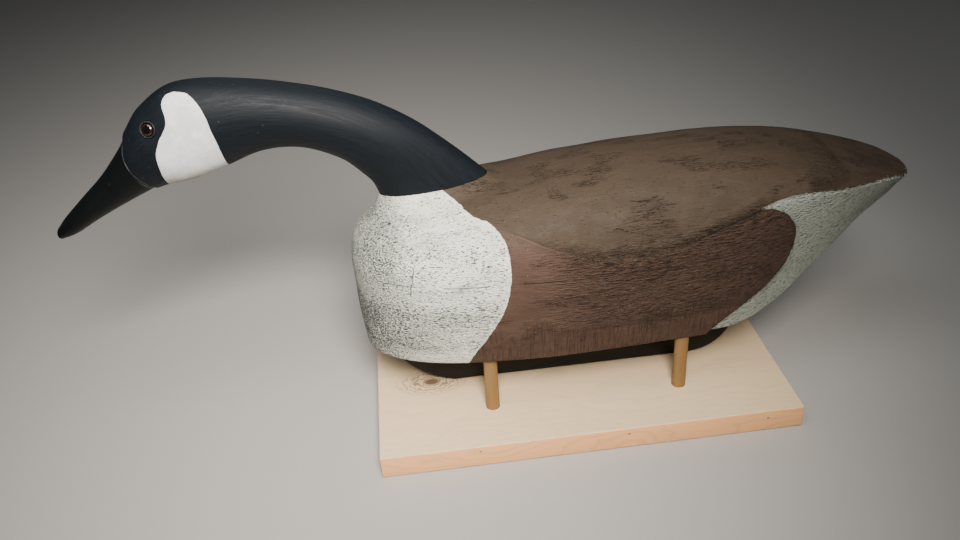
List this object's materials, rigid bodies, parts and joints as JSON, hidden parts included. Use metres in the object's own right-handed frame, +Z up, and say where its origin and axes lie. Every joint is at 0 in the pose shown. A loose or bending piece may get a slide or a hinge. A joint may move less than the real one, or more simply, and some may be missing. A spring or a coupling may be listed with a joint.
{
  "type": "wooden goose decoy on display stand",
  "caption": "Hand-carved wooden goose decoy with an outstretched neck and keel, resting on a board stand with dowel posts.",
  "frame": {"origin": "centre of the underside of the stand's board", "axes": "-X towards the bird's bill, -Y towards the bird's left side, +Z up"},
  "size_m": [0.7453, 0.225, 0.3419],
  "materials": {
    "pine_board": "planed bare pine with open knots and rough-sawn tan edges",
    "birch_dowel": "bare sanded birch",
    "painted_body": "rasped wood under flat brown paint, with off-white breast and rump",
    "hardwood_pin": "bare turned hardwood",
    "painted_keel": "planed wood under black paint",
    "ballast_lead": "dull cast lead",
    "screw_brass": "dull brass",
    "painted_neck": "smooth sanded wood under satin blue-black paint, with white cheek patches",
    "glass_eye": "clear glass over a brown iris and a black pupil",
    "eye_putty": "painted putty",
    "bolt_steel": "zinc-plated steel"
  },
  "bodies": {
    "stand": {"stand_board": "pine_board", "stand_dowel_front_left": "birch_dowel", "stand_dowel_front_right": "birch_dowel", "stand_dowel_rear_left": "birch_dowel", "stand_dowel_rear_right": "birch_dowel"},
    "decoy": {"body_upper": "painted_body", "body_lower": "painted_body", "body_pin_front_left": "hardwood_pin", "body_pin_front_right": "hardwood_pin", "body_pin_rear_left": "hardwood_pin", "body_pin_rear_right": "hardwood_pin", "keel": "painted_keel", "keel_ballast": "ballast_lead", "keel_screw_1": "screw_brass", "keel_screw_2": "screw_brass", "keel_screw_3": "screw_brass", "keel_screw_4": "screw_brass"},
    "head": {"head_and_neck": "painted_neck", "eye_left": "glass_eye", "eye_right": "glass_eye", "eye_putty_left": "eye_putty", "eye_putty_right": "eye_putty", "neck_bolt": "bolt_steel", "neck_washer": "bolt_steel", "neck_spring_washer": "bolt_steel", "neck_nut": "bolt_steel"}
  },
  "joints": [
    {"name": "decoy_lift", "type": "slide", "parent": "stand", "child": "decoy", "axis": [0, 0, 1], "range_m": [0, 0.12]},
    {"name": "head_swivel", "type": "hinge", "parent": "decoy", "child": "head", "pos_m": [-0.12, 0, 0.231], "axis": [-0.1036, 0, 0.9946], "range_deg": [-30, 30]}
  ]
}
